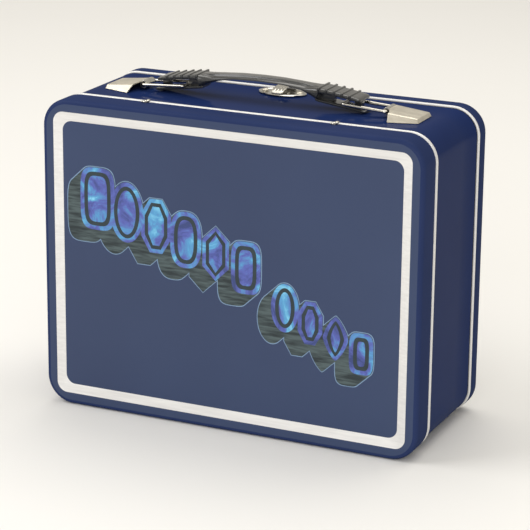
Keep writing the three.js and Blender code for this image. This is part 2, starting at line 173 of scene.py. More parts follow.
def polished(name, colour, roughness=0.2, metallic=1.0):
    """Nickel plate with faint mottling and hairline scratches."""
    look = Look(name, Metallic=metallic)
    cloud = look.noise(120.0, 5.0)
    scratches = look.noise(700.0, 2.0, 0.5, stretch=(0.06, 1.0, 1.0))
    darker = tuple(c * 0.82 for c in colour)
    look.colour(look.ramp(cloud, [(0.32, darker), (0.62, colour)]))
    look.roughness(look.span(scratches, roughness - 0.05, roughness + 0.1))
    look.bump(look.noise(260.0, 3.0), 0.00003, 0.5)
    return look.material


def moulded_plastic():
    """Black grip plastic under a gloss coat."""
    look = Look("moulded_plastic", Coat_Weight=1.0, Coat_Roughness=0.14)
    shades = [(0.3, (0.010, 0.0105, 0.010)), (0.7, (0.020, 0.0205, 0.0195))]
    look.colour(look.ramp(look.noise(60.0, 4.0), shades))
    look.roughness(look.span(look.noise(420.0, 4.0), 0.26, 0.38))
    look.bump(look.noise(1500.0, 3.0), 0.00002, 0.5)
    return look.material


def matt(name, colour):
    look = Look(name, Specular_IOR_Level=0.3)
    darker = tuple(c * 0.75 for c in colour)
    look.colour(look.ramp(look.noise(180.0, 4.0), [(0.3, darker), (0.7, colour)]))
    look.roughness(look.span(look.noise(240.0, 5.0), 0.42, 0.52))
    return look.material


def marbled():
    """Periwinkle ink clouded with cyan and pale blue."""
    look = Look("token_marble", Coat_Weight=0.2, Coat_Roughness=0.35)
    cloud = look.noise(62.0, 6.0, 0.62, distortion=0.9)
    look.colour(look.ramp(cloud, [(0.36, (0.020, 0.040, 0.17)), (0.48, (0.075, 0.10, 0.40)),
                                  (0.59, (0.07, 0.30, 0.56)), (0.70, (0.22, 0.60, 0.80))]))
    look.roughness(look.span(look.noise(240.0, 5.0), 0.42, 0.52))
    return look.material


def streaked():
    """Dark green-grey ink with fine slanting strokes."""
    look = Look("token_side", Specular_IOR_Level=0.3)
    mapping = look.node("ShaderNodeMapping")
    mapping.inputs["Rotation"].default_value = (0, math.radians(43), 0)
    mapping.inputs["Scale"].default_value = (0.12, 1.0, 1.0)
    look.link(look.space, mapping.inputs["Vector"])
    strokes = look.node("ShaderNodeTexNoise")
    strokes.inputs["Scale"].default_value = 700.0
    strokes.inputs["Detail"].default_value = 3.0
    look.link(mapping.outputs["Vector"], strokes.inputs["Vector"])
    shades = [(0.36, (0.022, 0.032, 0.036)), (0.64, (0.075, 0.105, 0.110))]
    look.colour(look.ramp(strokes.outputs["Fac"], shades))
    look.roughness(look.span(look.noise(240.0, 5.0), 0.45, 0.55))
    return look.material


NAVY = enamel("navy_enamel", (0.0098, 0.0215, 0.086), (0.0125, 0.0265, 0.100), 0.15)
SKIRT = enamel("navy_skirt", (0.021, 0.034, 0.098), (0.026, 0.040, 0.110), 0.05)
# painted shade: near-black paint standing in for the shadow in the gap before the lid's rim
GAP_SHADE = enamel("painted_gap_shade", (0.004, 0.006, 0.016), (0.006, 0.008, 0.02), 0.0)
PRINT = panel_print()
BORDER = brushed("bare_border", (0.80, 0.79, 0.775), 0.42, (0.05, 1.0, 1.0), 0.35)
RIM = brushed("bare_rim", (0.80, 0.79, 0.77), 0.36, (0.08, 0.3, 1.0), 0.25, 0.06)
TIN = brushed("bright_tin", (0.62, 0.62, 0.61), 0.30, (0.05, 1.0, 0.6))
NICKEL = polished("nickel_plate", (0.72, 0.67, 0.56), 0.34, 0.75)
WIRE = polished("bright_wire", (0.72, 0.69, 0.62), 0.16)
STEEL = polished("latch_steel", (0.66, 0.64, 0.58), 0.2)
PLASTIC = moulded_plastic()
MARBLE = marbled()
STREAKED = streaked()
INSET = matt("token_inset", (0.030, 0.047, 0.056))
GLOW = matt("token_edge", (0.20, 0.31, 0.47))


# ------------------------------------------------------------- mesh helpers
def publish(name, bm, materials, body, replaced=(), sharp=35.0):
    """Turns a bmesh into a smooth-shaded piece that rides on a body."""
    bmesh.ops.recalc_face_normals(bm, faces=bm.faces)
    mesh = bpy.data.meshes.new(name)
    bm.to_mesh(mesh)
    bm.free()
    for material in materials:
        mesh.materials.append(material)
    mesh.shade_smooth()
    mesh.set_sharp_from_angle(angle=math.radians(sharp))
    piece = bpy.data.objects.new(name, mesh)
    bpy.context.scene.collection.objects.link(piece)
    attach(piece, body)
    if replaced:
        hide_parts(*replaced)
    return piece


def outline(inset, radius=None, corner_steps=12, side_steps=8):
    """Points round the box's outline in X and Z, moved in by inset."""
    r = max(CORNER - inset, 0.5 * MM) if radius is None else radius
    x = WIDTH / 2 - inset
    top = HEIGHT - inset
    centres = [(x - r, inset + r, -90), (x - r, top - r, 0),
               (-x + r, top - r, 90), (-x + r, inset + r, 180)]
    points = []
    for k, (cx, cz, start) in enumerate(centres):
        for i in range(corner_steps + 1):
            a = math.radians(start + 90 * i / corner_steps)
            points.append(Vector((cx + r * math.cos(a), cz + r * math.sin(a))))
        nx, nz, begin = centres[(k + 1) % 4]
        a = math.radians(begin)
        end = Vector((nx + r * math.cos(a), nz + r * math.sin(a)))
        run = points[-1]
        points.extend(run.lerp(end, i / side_steps) for i in range(1, side_steps))
    return points


def skin(rings, closed=False, caps=(None, None)):
    """A bmesh lofted through outlines. Each ring is (y, inset, radius, material of the strip after it)."""
    bm = bmesh.new()
    loops = []
    for y, inset, radius, _ in rings:
        loops.append([bm.verts.new((p.x, y, p.y)) for p in outline(inset, radius)])
    count = len(loops[0])
    pairs = list(zip(loops, loops[1:]))
    if closed:
        pairs.append((loops[-1], loops[0]))
    for (a, b), ring in zip(pairs, rings):
        for i in range(count):
            j = (i + 1) % count
            face = bm.faces.new((a[i], a[j], b[j], b[i]))
            face.material_index = ring[3]
    for loop, cap in ((loops[0], caps[0]), (loops[-1], caps[1])):
        if cap is not None:
            bm.faces.new(loop).material_index = cap
    return bm


def circle_profile(y, inset, radius, steps):
    """Rings for skin that follow a small circle across the outline."""
    rings = []
    for i in range(steps):
        a = 2 * math.pi * i / steps
        rings.append((y + radius * math.cos(a), inset - radius * math.sin(a), None, 0))
    return rings


def cut(piece, corners):
    """Cuts a box, given by two corners, out of a piece."""
    (x0, y0, z0), (x1, y1, z1) = corners
    bm = bmesh.new()
    bmesh.ops.create_cube(bm, size=1.0)
    bm.transform(Matrix.Translation(((x0 + x1) / 2, (y0 + y1) / 2, (z0 + z1) / 2))
                 @ Matrix.Diagonal((x1 - x0, y1 - y0, z1 - z0, 1)))
    mesh = bpy.data.meshes.new("cutter")
    bm.to_mesh(mesh)
    bm.free()
    cutter = bpy.data.objects.new("cutter", mesh)
    bpy.context.scene.collection.objects.link(cutter)
    modifier = piece.modifiers.new("cut", "BOOLEAN")
    modifier.operation = "DIFFERENCE"
    modifier.solver = "EXACT"
    modifier.object = cutter
    graph = bpy.context.evaluated_depsgraph_get()
    done = bpy.data.meshes.new_from_object(piece.evaluated_get(graph))
    piece.modifiers.clear()
    piece.data = done
    bpy.data.objects.remove(cutter)


# -------------------------------------------------------------------- covers
PAINTED, BARE, INSIDE, FACE = 0, 1, 2, 3
GAP_SHADE_SLOT = 1  # in the side band this slot holds painted shade, a near-black strip for the shadowed gap before the lid's rim; the covers have bare metal in it


def cover(name, face_y, skirt_end, edge_radius, body, node):
    """A pressed pan: skirt, rounded edge, flat border, sloped bare frame and recess."""
    inward = 1 if skirt_end > face_y else -1
    rings = []

    def ring(depth, inset, material, radius=None):
        rings.append((face_y + inward * depth, inset, radius, material))

    slope_end = FRAME_INSET + SLOPE_WIDTH
    ring(RECESS_DEPTH, slope_end, PAINTED, 5.5 * MM)
    ring(SLOPE_DEPTH, slope_end - 0.02 * MM, BARE, 5.5 * MM)
    ring(SLOPE_DEPTH - 0.10 * MM, slope_end - 0.25 * MM, BARE, 5.6 * MM)
    ring(SLOPE_DEPTH * 0.5, FRAME_INSET + SLOPE_WIDTH * 0.5, BARE, 5.8 * MM)
    ring(0.12 * MM, FRAME_INSET + 0.35 * MM, BARE, 5.9 * MM)
    ring(0.03 * MM, FRAME_INSET + 0.05 * MM, FACE, 6.0 * MM)
    ring(0.0, FRAME_INSET - 0.35 * MM, FACE, 6.4 * MM)
    for i in range(9):
        a = math.radians(90 - 90 * i / 8)
        ring(edge_radius * (1 - math.sin(a)), edge_radius * (1 - math.cos(a)), PAINTED)
    length = abs(skirt_end - face_y)
    ring(length * 0.6, 0.0, PAINTED)
    for back, drop in ((2.6, 0.0), (1.9, 0.1), (1.2, 0.4), (0.6, 0.8), (0.1, 1.1)):
        ring(length - back * MM, drop * MM, PAINTED)
    ring(length + 0.2 * MM, 1.2 * MM, BARE)
    ring(length + 0.2 * MM, 1.6 * MM, INSIDE)
    ring(length - 1.2 * MM, 1.0 * MM, INSIDE)
    ring(length - 2.8 * MM, SHEET, INSIDE)
    for i in range(7):
        a = math.radians(90 * i / 6)
        inner = edge_radius - SHEET
        depth = SHEET + inner * (1 - math.sin(a))
        ring(depth, SHEET + inner * (1 - math.cos(a)), INSIDE)
    ring(SHEET, FRAME_INSET - 0.4 * MM, INSIDE, 6.4 * MM)
    ring(SLOPE_DEPTH + SHEET, slope_end - SHEET, INSIDE, 6 * MM)
    ring(RECESS_DEPTH + SHEET, slope_end - 0.3 * MM, INSIDE, 6 * MM)
    bm = skin(rings, caps=(PAINTED, INSIDE))
    return publish(name, bm, [SKIRT, BORDER, TIN, PRINT], body, [node], 40)


def panel(name, face_y, inward, body, node):
    """The flat printed sheet in a recess, very slightly pillowed."""
    edge = FRAME_INSET + SLOPE_WIDTH + 0.01 * MM
    rings = [(face_y + inward * (SLOPE_DEPTH + 0.3 * MM), edge, 5.4 * MM, 0)]
    pillow = ((0.0, 0.0), (1.0, 0.05), (4.0, 0.1), (10.0, 0.16),
              (22.0, 0.22), (40.0, 0.26), (62.0, 0.28))
    for step, rise in pillow:
        radius = max(5.4 * MM - step * 0.3 * MM, 1.0 * MM)
        rings.append((face_y + inward * (SLOPE_DEPTH - rise * MM), edge + step * MM, radius, 0))
    bm = skin(rings, caps=(0, 0))
    return publish(name, bm, [PRINT], body, [node], 50)


def rim(name, node, body, radius):
    rim_low, rim_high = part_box(node)
    bm = skin(circle_profile((rim_low.y + rim_high.y) / 2, radius, radius, 14), closed=True)
    return publish(name, bm, [RIM], body, [node], 60)


cover("front_cover_skin", FRONT_Y, FRONT_SKIRT_END, 2.5 * MM, "case", "front_cover")
cover("lid_cover_skin", LID_Y, LID_SKIRT_END, 4.2 * MM, "lid", "lid_cover")
panel("front_panel_sheet", FRONT_Y, 1, "case", "front_art_panel")
panel("lid_panel_sheet", LID_Y, -1, "lid", "lid_art_panel")
rim("front_rim_curl", "front_rim_bead", "case", 1.15 * MM)
lid_rim = rim("lid_rim_curl", "lid_rim_bead", "lid", 0.88 * MM)


# ---------------------------------------------------------------------- band
def side_band():
    """The band round the box, with a lip inside each cover and a shallow groove before the lid's rim,
    painted near-black as the shade of the gap there.
    """
    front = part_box("front_rim_bead")[1].y - 0.1 * MM
    rear = 33.3 * MM
    lip = 2.4 * MM
    profile = [
        (band_low.y, lip, INSIDE), (front, lip, INSIDE), (front, BAND_INSET, PAINTED),
        (rear - 22 * MM, BAND_INSET, PAINTED), (rear - 1.5 * MM, BAND_INSET, PAINTED),
        (rear - 1.2 * MM, BAND_INSET - 0.14 * MM, PAINTED),
        (rear - 0.75 * MM, BAND_INSET - 0.1 * MM, PAINTED),
        # painted shade: the near-black strip in the groove before the lid's rim stands in for the shadowed
        # gap
        (rear - 0.65 * MM, BAND_INSET + 0.12 * MM, GAP_SHADE_SLOT), (rear + 0.5 * MM, BAND_INSET + 0.12 * MM, GAP_SHADE_SLOT),
        (rear + 0.5 * MM, lip, GAP_SHADE_SLOT), (rear + 2.4 * MM, lip, INSIDE),
        (band_high.y, lip, INSIDE), (band_high.y, lip + SHEET, INSIDE),
        (rear - 1.2 * MM, lip + SHEET, INSIDE),
        (rear - 1.2 * MM, BAND_INSET + SHEET, INSIDE), (front + SHEET, BAND_INSET + SHEET, INSIDE),
        (front + SHEET, lip + SHEET, INSIDE), (band_low.y, lip + SHEET, INSIDE),
    ]
    bm = skin([(y, inset, None, material) for y, inset, material in profile], closed=True)
    return publish("side_band_skin", bm, [NAVY, GAP_SHADE, TIN], "case", ["body_band"], 40)


band = side_band()

for side in ("left", "right"):
    leaf_low, leaf_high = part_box(f"hinge_{side}_body_leaf")
    x0 = leaf_low.x - 0.3 * MM
    x1 = leaf_high.x + 0.3 * MM
    axis_y = leaf_high.y - 0.9 * MM
    cut(band, ((x0, axis_y - 1.3 * MM, -1 * MM), (x1, axis_y + 1 * MM, 2.3 * MM)))
    cut(lid_rim, ((x0, axis_y - 1 * MM, -1 * MM), (x1, axis_y + 1.25 * MM, 4 * MM)))
    cut(lid_rim, ((x0, axis_y, SHEET), (x1, axis_y + 4 * MM, 4 * MM)))

# ------------------------------------------------------------------- artwork
EMBLEM_SWEEP = Vector((-7.5, -7.0)) * MM
TOKEN_FACE, TOKEN_INSET, TOKEN_SIDE, TOKEN_EDGE = 0, 1, 2, 3


def token_points(kind, centre, width, height):
    """A convex outline: a disc, cushion, diamond, pebble or polygon."""
    count = {"hexagon": 6, "octagon": 8}.get(kind, 48)
    power = {"cushion": 0.5, "diamond": 1.5, "pebble": 0.75}.get(kind, 1.0)
    points = []
    for i in range(count):
        a = 2 * math.pi * (i + 0.5) / count
        x = math.copysign(abs(math.cos(a)) ** power, math.cos(a))
        z = math.copysign(abs(math.sin(a)) ** power, math.sin(a))
        points.append(centre + Vector((x * width / 2, z * height / 2)))
    return points


def hull(points):
    return [points[i] for i in convex_hull_2d(points)]


def add_prism(bm, points, y_front, y_back, material):
    """A closed flat prism in X and Z; only its front layer stands proud."""
    front = [bm.verts.new((p.x, y_front, p.y)) for p in points]
    back = [bm.verts.new((p.x, y_back, p.y)) for p in points]
    faces = [bm.faces.new(front), bm.faces.new(back[::-1])]
    for i in range(len(points)):
        j = (i + 1) % len(points)
        faces.append(bm.faces.new((front[j], front[i], back[i], back[j])))
    for face in faces:
        face.material_index = material


def emblem():
    """A slanting row of plain tokens that look extruded down to the left."""
    rows = ((Vector((-78, 121)), Vector((11, 94)), 6, 35, 29),
            (Vector((34, 75)), Vector((78, 56)), 4, 27, 23))
    kinds = ("cushion", "disc", "octagon", "pebble", "hexagon",
             "cushion", "disc", "octagon", "diamond", "cushion")
    bm = bmesh.new()
    number = 0
    for start, end, count, tall, short in rows:
        for i in range(count):
            centre = start.lerp(end, i / (count - 1)) * MM
            height = (tall + (short - tall) * i / (count - 1)) * MM
            width = height * 0.6
            kind = kinds[number]
            back = FRONT_Y + 1.25 * MM
            layers = ((0.75, TOKEN_EDGE, True), (0.3, TOKEN_SIDE, True), (0.0, TOKEN_FACE, False),
                      (-2.4, TOKEN_INSET, False), (-4.6, TOKEN_FACE, False))
            for k, (grow, material, swept) in enumerate(layers):
                points = token_points(kind, centre, width + 2 * grow * MM, height + 2 * grow * MM)
                if swept:
                    points = hull(points + [p + EMBLEM_SWEEP for p in points])
                level = FRONT_Y + (1.09 - 0.03 * k - 0.001 * number) * MM
                add_prism(bm, points, level, back, material)
            number += 1
    materials = [MARBLE, INSET, STREAKED, GLOW]
    return publish("front_emblem", bm, materials, "case", sharp=30)


emblem()


# ------------------------------------------------------------- small helpers
def add_box(bm, centre, size, bevel, turn=None):
    """A box with rounded edges."""
    made = bmesh.ops.create_cube(bm, size=1.0)["verts"]
    matrix = Matrix.Translation(centre) @ (turn or Matrix.Identity(4)) @ Matrix.Diagonal((*size, 1))
    bmesh.ops.transform(bm, matrix=matrix, verts=made)
    edges = list(dict.fromkeys(e for v in made for e in v.link_edges))
    bmesh.ops.bevel(bm, geom=edges, offset=bevel, segments=3, profile=0.6, affect="EDGES")


def add_lathe(bm, profile, origin, axis="Z", steps=40, material=0):
    """Turns (radius, height) points round an axis; the ends close on the axis or onto each other."""
    turn = {"Z": Matrix.Identity(3), "Y": Matrix.Rotation(math.radians(-90), 3, "X"),
            "X": Matrix.Rotation(math.radians(90), 3, "Y")}[axis]
    rows = []
    for radius, height in profile:
        if radius == 0:
            rows.append([bm.verts.new(Vector(origin) + turn @ Vector((0, 0, height)))])
            continue
        row = []
        for i in range(steps):
            a = 2 * math.pi * i / steps
            spoke = Vector((radius * math.cos(a), radius * math.sin(a), height))
            row.append(bm.verts.new(Vector(origin) + turn @ spoke))
        rows.append(row)
    pairs = list(zip(rows, rows[1:]))
    if len(rows[0]) > 1:
        pairs.append((rows[-1], rows[0]))
    for a, b in pairs:
        for i in range(steps):
            j = (i + 1) % steps
            if len(a) == 1:
                corners = (a[0], b[j], b[i])
            elif len(b) == 1:
                corners = (a[i], a[j], b[0])
            else:
                corners = (a[i], a[j], b[j], b[i])
            bm.faces.new(corners).material_index = material


def add_tube(bm, points, radius, bend, sides=20):
    """A round wire through points, with rounded corners and domed ends."""
    route = [points[0]]
    for before, corner, after in zip(points, points[1:], points[2:]):
        start = corner + (before - corner).normalized() * bend
        end = corner + (after - corner).normalized() * bend
        for i in range(9):
            t = i / 8
            route.append(start * (1 - t) ** 2 + corner * 2 * t * (1 - t) + end * t * t)
    route.append(points[-1])
    ahead = (route[1] - route[0]).normalized()
    across = ahead.orthogonal().normalized()
    loops = []
    for k, place in enumerate(route):
        near = route[max(k - 1, 0)]
        far = route[min(k + 1, len(route) - 1)]
        direction = (far - near).normalized()
        across = (across - direction * across.dot(direction)).normalized()
        other = direction.cross(across)
        shrinks = [(1, 0)]
        if k == 0:
            shrinks = [(0.55, -0.6), (1, 0)]
        elif k == len(route) - 1:
            shrinks = [(1, 0), (0.55, 0.6)]
        for shrink, push in shrinks:
            loop = []
            for i in range(sides):
                a = 2 * math.pi * i / sides
                offset = (across * math.cos(a) + other * math.sin(a)) * radius * shrink
                loop.append(bm.verts.new(place + direction * push * radius * 0.3 + offset))
            loops.append(loop)
    for a, b in zip(loops, loops[1:]):
        for i in range(sides):
            j = (i + 1) % sides
            bm.faces.new((a[i], a[j], b[j], b[i]))
    for loop in (loops[0][::-1], loops[-1]):
        bm.faces.new(loop)


def add_stack(bm, loops):
    """Closes a row of equal point loops into one solid."""
    rows = [[bm.verts.new(p) for p in loop] for loop in loops]
    for a, b in zip(rows, rows[1:]):
        for i in range(len(a)):
            j = (i + 1) % len(a)
            bm.faces.new((a[i], a[j], b[j], b[i]))
    for row in (rows[0][::-1], rows[-1]):
        bm.faces.new(row)


def clamp(value):
    return min(max(value, 0), 1)


def between(table, x):
    """Height at x along a table of (x, height) points."""
    for (x0, z0), (x1, z1) in zip(table, table[1:]):
        if x <= x1:
            return z0 + (z1 - z0) * (x - x0) / (x1 - x0)
    return table[-1][1]


# -------------------------------------------------------------------- handle
# Named places below that carry no MM are in millimetres, and are multiplied by MM where used.
HANDLE_Y = 2 * MM
BARREL_X = 72
BARREL_Z = 176.6
RING_BAR_X = 47
RING_BAR_Z = 178.3
RING_HALF = 6.5
GRIP_SHIFT = -2.5 * MM
GRIP_TOP = [(0, 187.6), (12, 187.4), (23, 186.7), (39, 185.4), (48, 184.2), (57, 182.7), (60, 182)]
GRIP_UNDER = [(0, 185), (15, 184.2), (25, 182.4), (31, 180.2), (34.8, 178.7), (36, 182.4),
              (39, 182.6), (48, 181.6), (57, 180.3), (60, 179.8)]
TONGUE_TOP = [(33, 179.6), (36, 179.0), (57, 176.3), (60, 175.8), (62.4, 175.4)]
TONGUE_UNDER = [(33, 178.1), (34.5, 177.6), (61, 174.0), (62.4, 174.6)]


def rounded_section(x, half, under, top, round_power, grooves=0.0):
    """A soft rectangle across the handle, with a raised strip between two grooves along its top."""
    loop = []
    middle = (under + top) / 2
    rise = (top - under) / 2
    for i in range(112):
        a = 2 * math.pi * i / 112
        c, s = math.cos(a), math.sin(a)
        y = half * math.copysign(abs(c) ** round_power, c)
        z = rise * math.copysign(abs(s) ** round_power, s)
        if s > 0:
            away = abs(y / half)
            shoulder = clamp((away - 0.42) / 0.1)
            valley = 0.5 * math.exp(-(((away - 0.56) / 0.06) ** 2))
            z -= grooves * (shoulder + valley)
        loop.append(Vector((x, HANDLE_Y + y, middle + z)))
    return loop


def grip():
    """The arched moulding, its lower straps and five ribs at each end; it sits left of the middle."""
    bm = bmesh.new()
    loops = []
    half_stations = [1, 3, 5, 7, 9, 11, 13, 15, 17, 19, 21, 23, 25, 27, 29, 31, 33, 34.8, 36]
    half_stations += [38, 40, 42, 44, 46, 48, 50, 52, 54, 56, 58, 59, 59.7, 60]
    stations = [-s for s in reversed(half_stations)] + half_stations
    for station in stations:
        reach = abs(station)
        half = 6.3 + 1.2 * clamp((reach - 24) / 14)
        end = {60: 0.9, 59.7: 0.45, 59: 0.1}.get(reach, 0.0)
        power = 0.9 - 0.5 * clamp((reach - 26) / 10)
        groove = 0.75 * clamp((36 - reach) / 8)
        top = between(GRIP_TOP, reach) - end
        under = between(GRIP_UNDER, reach) + end * 0.7
        loops.append(rounded_section(station * MM, (half - end) * MM, under * MM, top * MM,
                                     power, groove * MM))
    add_stack(bm, loops)
    for sign in (-1, 1):
        strap = []
        for reach in (33.2, 34, 36, 40, 45, 50, 55, 59, 61.4, 62.2):
            end = 0.25 if reach in (33.2, 62.2) else 0.0
            top = between(TONGUE_TOP, reach) - end
            under = between(TONGUE_UNDER, reach) + end
            strap.append(rounded_section(sign * reach * MM, (5.1 - end) * MM, under * MM, top * MM, 0.4))
        add_stack(bm, strap)
        add_box(bm, (sign * 38.5 * MM, HANDLE_Y, 180.6 * MM), (9 * MM, 4.4 * MM, 4.6 * MM), 0.4 * MM)
        add_box(bm, (sign * 57 * MM, HANDLE_Y, 178.3 * MM), (4 * MM, 4.4 * MM, 5 * MM), 0.4 * MM)
        for i in range(5):
            reach = 36 + 4.5 * i
            slope = Matrix.Rotation(sign * 0.15, 4, "Y")
            level = between(GRIP_TOP, reach) * MM
            place = (sign * reach * MM, HANDLE_Y, level - 0.55 * MM)
            add_box(bm, place, (1.3 * MM, 15.7 * MM, 1.9 * MM), 0.4 * MM, slope)
            for flank in (-1, 1):
                place = (sign * reach * MM, HANDLE_Y + flank * 7.3 * MM, level - 1.3 * MM)
                add_box(bm, place, (1.1 * MM, 0.95 * MM, 2.2 * MM), 0.3 * MM, slope)
    bmesh.ops.translate(bm, vec=(GRIP_SHIFT, 0, 0), verts=bm.verts)
    publish("grip_moulding", bm, [PLASTIC], "handle", ["handle_grip"], 45)


def bracket(side, sign):
    """A hollow stamped wedge, its strap and the rolled barrel that holds the ring."""
    bm = bmesh.new()
    base = BAND_TOP + 0.32 * MM
    inner_top, outer_top = base + 3.8 * MM, base + 2.2 * MM

    def at(x, y, z):
        return Vector((sign * x * MM, y * MM, z))

    top = [at(75.2, -9.6, inner_top), at(91.6, -9, outer_top),
           at(91.6, 9, outer_top), at(75.2, 9.6, inner_top)]
    low = [at(76.6, -14.4, base), at(92.4, -9.9, base), at(92.4, 9.9, base), at(76.6, 14.4, base)]
    ups = [bm.verts.new(p) for p in top]
    downs = [bm.verts.new(p) for p in low]
    faces = [bm.faces.new(ups)]
    for i in range(3):
        faces.append(bm.faces.new((downs[i], downs[i + 1], ups[i + 1], ups[i])))
    creases = [e for e in bm.edges if len(e.link_faces) == 2]
    bmesh.ops.bevel(bm, geom=creases, offset=0.55 * MM, segments=3, profile=0.5, affect="EDGES")
    bmesh.ops.recalc_face_normals(bm, faces=bm.faces)
    if next(f for f in bm.faces if abs(f.normal.z) > 0.9).normal.z < 0:
        bmesh.ops.reverse_faces(bm, faces=bm.faces)
    bmesh.ops.solidify(bm, geom=bm.faces[:], thickness=0.5 * MM)
    strap = []
    narrowing = ((75.6, 0, 9.3, 0.1), (74.6, 1, 7.2, -0.35), (73.6, 2, 5.3, -0.75), (72.6, 2, 5.2, -0.95))
    for x, y_mid, half, drop in narrowing:
        z = inner_top - drop * MM
        strap.append([at(x, y_mid - half, z), at(x, y_mid + half, z), at(x, y_mid + half, z - 0.5 * MM),
                      at(x, y_mid - half, z - 0.5 * MM)])
    add_stack(bm, strap)
    seam = [(1.45, -5.1), (2.1, -5.1), (2.2, -5.0), (2.2, 5.0), (2.1, 5.1), (1.45, 5.1)]
    add_lathe(bm, [(r * MM, h * MM) for r, h in seam], (sign * BARREL_X * MM, HANDLE_Y, BARREL_Z * MM),
              "Y", 44, 1)
    for y in (-10.8, 10.8):
        add_box(bm, (sign * 84 * MM, y * MM, base - 1 * MM), (3.6 * MM, 1.2 * MM, 3 * MM), 0.15 * MM)
    node = f"handle_bracket_{side}"
    publish(f"stamped_bracket_{side}", bm, [NICKEL, STEEL], "case", [node], 28)


def wire_ring(side, sign):
    bm = bmesh.new()

    def at(x, y, z):
        return Vector((sign * x * MM, HANDLE_Y + y * MM, z * MM))

    route = [at(BARREL_X, -0.4, BARREL_Z), at(BARREL_X, -RING_HALF, BARREL_Z),
             at(RING_BAR_X, -RING_HALF, RING_BAR_Z), at(RING_BAR_X, RING_HALF, RING_BAR_Z),
             at(BARREL_X, RING_HALF, BARREL_Z), at(BARREL_X, 0.4, BARREL_Z)]
    add_tube(bm, route, 0.9 * MM, 1.3 * MM)
    publish(f"wire_ring_{side}", bm, [WIRE], f"ring_{side}", [f"handle_ring_{side}"], 50)


grip()
for side, sign in (("left", -1), ("right", 1)):
    bracket(side, sign)
    wire_ring(side, sign)


# --------------------------------------------------------------------- latch
def base_plate():
    """A boat-shaped dished plate with a rolled edge and a catch ridge."""
    bm = bmesh.new()
    plate_low, plate_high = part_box("latch_base_plate")
    middle = (plate_low + plate_high) / 2
    half_x = (plate_high.x - plate_low.x) / 2
    half_y = (plate_high.y - plate_low.y) / 2
    z0 = plate_low.z
    steps = 72
    profile = ((0.0, 0.40), (0.6, 0.40), (0.8, 0.46), (0.88, 0.72), (0.93, 1.0), (0.965, 1.06), (0.99, 0.9),
               (1.0, 0.5), (0.985, 0.12), (0.94, 0.02), (0.0, 0.02))
    rows = []
    for scale, rise in profile:
        if scale == 0:
            rows.append([bm.verts.new((middle.x, middle.y, z0 + rise * MM))])
            continue
        row = []
        for i in range(steps):
            a = 2 * math.pi * i / steps
            pinch = 1 - 0.10 * math.cos(a) ** 4
            x = half_x * scale * math.cos(a)
            y = half_y * scale * math.sin(a) * pinch
            row.append(bm.verts.new((middle.x + x, middle.y + y, z0 + rise * MM)))
        rows.append(row)
    for a, b in zip(rows, rows[1:]):
        for i in range(steps):
            j = (i + 1) % steps
            if len(a) == 1:
                corners = (a[0], b[i], b[j])
            elif len(b) == 1:
                corners = (a[j], a[i], b[0])
            else:
                corners = (a[i], b[i], b[j], a[j])
            bm.faces.new(corners)
    add_box(bm, (0, 22.5 * MM, z0 + 0.7 * MM), (8 * MM, 2.8 * MM, 0.75 * MM), 0.25 * MM)
    publish("latch_boat_plate", bm, [STEEL], "case", ["latch_base_plate"], 30)


HASP_TOP = [(14.6, 175.6), (16, 176.6), (18, 177.3), (21, 177.7),
            (24, 177.8), (28, 177.9), (32, 177.8), (34.9, 177.4)]
HASP_PIN_Y = 35.2
HASP_PIN_Z = 176.3


def hasp():
    """The arched spring tongue: pressed ridges along it and a turned-up thumb edge."""
    bm = bmesh.new()
    loops = []
    across = 49
    for k in range(31):
        y = 14.7 + 20.1 * k / 30
        half = 3.7 if y < 32 else max(3.7 - (y - 32) * 1.2, 2.9)
        if y < 16:
            half -= 0.5 * (1 - math.sin((y - 14.7) / 1.3 * math.pi / 2))
        top = between(HASP_TOP, y)
        ridged = clamp((y - 16.5) / 2) * clamp((32 - y) / 2)
        upper, lower = [], []
        for i in range(across):
            x = -half + 2 * half * i / (across - 1)
            wave = 0.45 * ridged * (0.5 + 0.5 * math.cos(x / 3.7 * math.pi * 4)) - 0.45 * ridged
            edge = 0.12 * (abs(x) / half) ** 8
            upper.append(Vector((x * MM, y * MM, (top + wave - edge) * MM)))
            lower.append(Vector((x * MM, y * MM, (top + wave - 0.45) * MM)))
        loops.append(upper + lower[::-1])
    add_stack(bm, loops)
    thumb_edge = [Vector((x, 14.9, 175.3)) * MM for x in (-3.2, 0, 3.2)]
    add_tube(bm, thumb_edge, 0.3 * MM, 0.1 * MM, 14)
    barrel = [(0.72, -2.95), (1.12, -2.95), (1.2, -2.87), (1.2, 2.87), (1.12, 2.95), (0.72, 2.95)]
    add_lathe(bm, [(r * MM, h * MM) for r, h in barrel], (0, HASP_PIN_Y * MM, HASP_PIN_Z * MM), "X", 36)
    publish("hasp_tongue", bm, [STEEL], "hasp", ["latch_hasp"], 35)


def lid_bracket():
    bm = bmesh.new()
    add_box(bm, (0, 39.8 * MM, HEIGHT + 0.6 * MM), (17 * MM, 5.5 * MM, 0.55 * MM), 0.18 * MM)
    for sign in (-1, 1):
        x = sign * 4.75 * MM
        knuckle = [(0.72, -1.4), (1.12, -1.4), (1.2, -1.32), (1.2, 1.32), (1.12, 1.4), (0.72, 1.4)]
        add_lathe(bm, [(r * MM, h * MM) for r, h in knuckle], (x, HASP_PIN_Y * MM, HASP_PIN_Z * MM), "X", 36)
        add_box(bm, (x, 36.9 * MM, 175.55 * MM), (2.8 * MM, 2.0 * MM, 0.8 * MM), 0.2 * MM)
    publish("hasp_bracket", bm, [STEEL], "lid", ["latch_lid_bracket"], 35)


